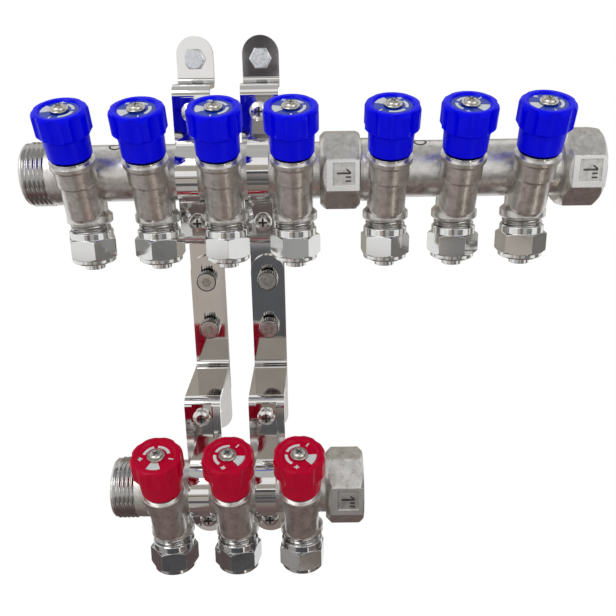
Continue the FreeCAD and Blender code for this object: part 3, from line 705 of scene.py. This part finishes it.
def make_plaque(name, mount, end_x, turn):
    """Raised frame with a generic size mark on the front flat of a bar's octagon; the lines along the panel's left
    and top edges are painted shadow of the frame, and the mark is painted shade.
    """
    out = Vector((0.0, -math.cos(turn), -math.sin(turn)))
    axis_point = Vector((end_x - PLAQUE_INSET - PLAQUE_LONG / 2, *MOUNTS[mount]["pos_m"][1:]))
    place = axes_place(axis_point + out * OCTAGON_HALF, out)
    border = Shape()
    for sign in (-1, 1):
        side = (PLAQUE_LONG - PANEL_LONG) / 2 - sign * PANEL_SHIFT
        upright = shifted(place, sign * (PLAQUE_LONG - side) / 2, 0.0)
        border.box(side, PLAQUE_TALL, PLAQUE_RISE, upright)
        edge = (PLAQUE_TALL - PANEL_TALL) / 2 - sign * PANEL_LIFT
        rail = shifted(place, PANEL_SHIFT, sign * (PLAQUE_TALL - edge) / 2)
        border.box(PANEL_LONG, edge, PLAQUE_RISE, rail)
    border.made("plaque_" + name, FRAME, "rack")
    panel = shifted(place, PANEL_SHIFT, PANEL_LIFT)
    # Painted shadow: dark lines where the raised frame shades the panel's left and top edges.
    outline = Shape()
    upright = shifted(panel, (SHADOW_LINE_WIDE - PANEL_LONG) / 2, 0.0)
    outline.box(SHADOW_LINE_WIDE, PANEL_TALL, SHADOW_LINE_RISE, upright)
    rail = shifted(panel, SHADOW_LINE_WIDE / 2, (PANEL_TALL - SHADOW_LINE_WIDE) / 2)
    outline.box(PANEL_LONG - SHADOW_LINE_WIDE, SHADOW_LINE_WIDE, SHADOW_LINE_RISE, rail)
    outline.made("frame_shadow_" + name, THREAD, "rack")
    stem = shifted(panel, 0.0, STEM_LIFT)
    mark = Shape()
    mark.box(STEM_LONG, STEM_WIDE, MARK_RISE, stem)
    flag = shifted(stem, STEM_LONG / 2 - FLAG_BACK, FLAG_BACK) @ spin(FLAG_SLANT)
    mark.box(TICK_LONG, TICK_WIDE, MARK_RISE, flag)
    for drop in TICK_DROPS:
        tick = shifted(stem, STEM_LONG / 2 - TICK_LONG / 2, -drop)
        mark.box(TICK_LONG, TICK_WIDE, MARK_RISE, tick)
    mark.made("size_mark_" + name, MARK_SHADE, "rack")


def make_stamp(name, x):
    """A plain stamped ring, painted as shade, lying on the upper side of an upper bar's tube."""
    centre = Vector(MOUNTS["upper_male_end"]["pos_m"])
    radius = PIPE_R + RING_LIFT
    points = []
    faces = []
    for step in range(RING_STEPS):
        angle = math.tau * step / RING_STEPS
        for reach in (RING_IN, RING_OUT):
            turn = RING_TURN + reach * math.sin(angle) / PIPE_R
            y = centre.y - radius * math.cos(turn)
            z = centre.z + radius * math.sin(turn)
            points.append((x + reach * math.cos(angle), y, z))
        after = (step + 1) % RING_STEPS
        faces.append((2 * step, 2 * step + 1, 2 * after + 1, 2 * after))
    stamp = Shape()
    stamp.add(points, faces, Matrix.Identity(4))
    stamp.made("stamp_" + name, SHADE, "rack")


# Screws of the brackets and clamps


def make_knurls():
    """Ridges around the heads of the slot screws, on a sleeve of painted shade that darkens the valleys between
    them.
    """
    half = math.pi * SLOT_HEAD_R / KNURL_COUNT / 2
    ridge = [(-KNURL_FOOT, -half), (KNURL_RISE, 0.0), (-KNURL_FOOT, half)]
    inner = SLOT_HEAD_R - VALLEY_SHADE_RISE
    outer = SLOT_HEAD_R + VALLEY_SHADE_RISE
    sleeve = [(inner, 0.0), (outer, 0.0), (outer, SLOT_HEAD_TALL), (inner, SLOT_HEAD_TALL)]
    knurl = Shape()
    ground = Shape()
    for place in slot_screw_places(KNURL_BACK):
        ground.turned(sleeve, place, capped=False)
        for step in range(KNURL_COUNT):
            turn = Matrix.Rotation(math.tau * step / KNURL_COUNT, 4, "Z")
            knurl.plate(ridge, SLOT_HEAD_TALL, shifted(place @ turn, SLOT_HEAD_R, 0.0))
    knurl.made("slot_screw_knurls", STEEL, "rack")
    ground.made("slot_screw_valley_shade", SHADE, "rack")


def make_sockets():
    """Floors in the sockets of the slot screws, darker than the steel, as painted shade in the sockets."""
    corner = SOCKET_FLATS / math.sqrt(3.0)
    hexagon = [clock(corner, degrees) for degrees in range(30, 390, 60)]
    floor = Shape()
    for place in slot_screw_places(SOCKET_SINK):
        floor.plate(hexagon, SOCKET_TALL, place)
    floor.made("slot_screw_sockets", WORN_AND_SOCKET_SHADE, "rack")


def make_clamp_crosses():
    """Inlays of painted shade in the cross recesses of the clamp screws."""
    inlay = Shape()
    for deck, up in CLAMP_UP.items():
        centre = Vector((0.0, *MOUNTS[deck + "_male_end"]["pos_m"][1:]))
        for side in (-CLAMP_SPREAD, CLAMP_SPREAD):
            for rise in (up, -CLAMP_DOWN):
                place = axes_place(centre + Vector((side, RECESS_BACK, rise)), FRONT)
                inlay.cross(RECESS_LONG, RECESS_WIDE, RECESS_HEIGHTS, place)
    inlay.made("clamp_screw_crosses", SHADE, "rack")


# Studio


def combine(tree, operation, first, second):
    """A Math node on an output and another output or a number; gives its output."""
    node = tree.nodes.new("ShaderNodeMath")
    node.operation = operation
    tree.links.new(first, node.inputs[0])
    if isinstance(second, float):
        node.inputs[1].default_value = second
    else:
        tree.links.new(second, node.inputs[1])
    return node.outputs[0]


def seen_white(tree, shade, white, share):
    """Mix a shader with a white one for camera, glossy and transmission rays; gives the output."""
    path = tree.nodes.new("ShaderNodeLightPath").outputs
    seen = combine(tree, "MAXIMUM", path["Is Camera Ray"], path["Is Glossy Ray"])
    seen = combine(tree, "MAXIMUM", seen, path["Is Transmission Ray"])
    mix = tree.nodes.new("ShaderNodeMixShader")
    tree.links.new(combine(tree, "MULTIPLY", seen, share), mix.inputs[0])
    tree.links.new(shade, mix.inputs[1])
    tree.links.new(white, mix.inputs[2])
    return mix.outputs[0]


def background(tree, strength):
    """A white background of a given strength; gives its output."""
    light = tree.nodes.new("ShaderNodeBackground")
    light.inputs["Color"].default_value = WHITE
    light.inputs["Strength"].default_value = strength
    return light.outputs[0]


def make_world():
    """Soft grey light all round, seen as white."""
    world = bpy.data.worlds.new("studio")
    bpy.context.scene.world = world
    world.use_nodes = True
    tree = world.node_tree
    tree.nodes.clear()
    light = background(tree, WORLD_STRENGTH)
    white = background(tree, WHITE_STRENGTH)
    out = tree.nodes.new("ShaderNodeOutputWorld")
    tree.links.new(seen_white(tree, light, white, 1.0), out.inputs["Surface"])


def sheet(name, size, place, look):
    """A flat stage sheet."""
    shape = bpy.data.meshes.new(name)
    shape.from_pydata([(x, y, 0.0) for x, y in rectangle(*size)], [], [(0, 1, 2, 3)])
    shape.materials.append(look)
    item = bpy.data.objects.new(name, shape)
    item.matrix_world = place
    bpy.context.scene.collection.objects.link(item)
    item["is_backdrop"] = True
    return item


def make_floor():
    """Pale floor below the object."""
    look = finish("floor", FLOOR_COLOURS, FLOOR_ROUGHNESS, FLOOR_BLOTCH, metallic=0.0)
    tree = look.node_tree
    shade = tree.nodes["Principled BSDF"].outputs[0]
    white = tree.nodes.new("ShaderNodeEmission")
    white.inputs["Strength"].default_value = FLOOR_GLOW
    mixed = seen_white(tree, shade, white.outputs[0], FLOOR_WHITE_SHARE)
    tree.links.new(mixed, tree.nodes["Material Output"].inputs["Surface"])
    sheet("floor", (FLOOR_SIDE, FLOOR_SIDE), Matrix.Translation((0.0, 0.0, FLOOR_LEVEL)), look)


def glow(name, low, high):
    """A card's own shade, wandering between two colours whatever light falls on it."""
    made = bpy.data.materials.new(name)
    made.use_nodes = True
    tree = made.node_tree
    tree.nodes.clear()
    wander = noise_into(tree, CARD_BLOTCH, CARD_DETAIL)
    shade = ramp_from(tree, wander, low, high)
    light = tree.nodes.new("ShaderNodeEmission")
    tree.links.new(shade.outputs["Color"], light.inputs["Color"])
    out = tree.nodes.new("ShaderNodeOutputMaterial")
    tree.links.new(light.outputs[0], out.inputs["Surface"])
    return made


def make_card(name, facing, size, centre, low, high):
    """A studio card that only the bright metal reflects."""
    across = BACK if facing.x else RIGHT
    card = sheet(name, size, axes_place(centre, facing, across), glow(name, low, high))
    card.visible_camera = False
    card.visible_diffuse = False
    card.visible_shadow = False


def make_lamp(name, at, power):
    """A soft square lamp."""
    data = bpy.data.lights.new(name, "AREA")
    data.shape = "SQUARE"
    data.size = LAMP_SIDE
    data.energy = power
    item = bpy.data.objects.new(name, data)
    item.matrix_world = axes_place(at, at - MIDDLE)
    bpy.context.scene.collection.objects.link(item)


def make_camera():
    """Camera at the photograph's viewing angle."""
    level = math.cos(PITCH)
    forward = Vector((math.sin(YAW) * level, math.cos(YAW) * level, -math.sin(PITCH)))
    right = Vector((math.cos(YAW), -math.sin(YAW), 0.0))
    up = right.cross(forward)
    across = right * math.cos(ROLL) + up * math.sin(ROLL)
    above = up * math.cos(ROLL) - right * math.sin(ROLL)
    data = bpy.data.cameras.new("photo_view")
    data.sensor_width = SENSOR_MM
    data.lens = FOCAL_PX / IMAGE_PX * SENSOR_MM
    data.clip_start = CLIP_NEAR
    data.clip_end = CLIP_FAR
    item = bpy.data.objects.new("photo_view", data)
    turn = Matrix((across, above, -forward)).transposed().to_4x4()
    item.matrix_world = Matrix.Translation(CAMERA_AT) @ turn
    bpy.context.scene.collection.objects.link(item)
    bpy.context.scene.camera = item


dress_nodes()
make_pipe_threads()
make_outlet_threads()
for valve_name in VALVES:
    make_knob_marks(valve_name)
    make_knob_screw(valve_name)
make_plaque("upper_left", "upper_male_end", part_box("bar_upper_left")[1].x, 0.0)
make_plaque("upper_right", "upper_female_end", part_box("bar_upper_right")[1].x, 0.0)
make_plaque("lower", "lower_female_end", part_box("bar_lower")[1].x, LOWER_TURN)
for stamp_name, stamp_x in STAMPS.items():
    make_stamp(stamp_name, stamp_x)
make_knurls()
make_sockets()
make_clamp_crosses()
make_world()
make_floor()
for card_name, card in CARDS.items():
    make_card(card_name, *card)
for lamp_name, lamp in LAMPS.items():
    make_lamp(lamp_name, *lamp)
make_camera()
bpy.context.scene.view_settings.view_transform = "Standard"

boxes = {"cad": CAD_BOX, "visual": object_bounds()}
{name: [list(corner) for corner in box] for name, box in boxes.items()}
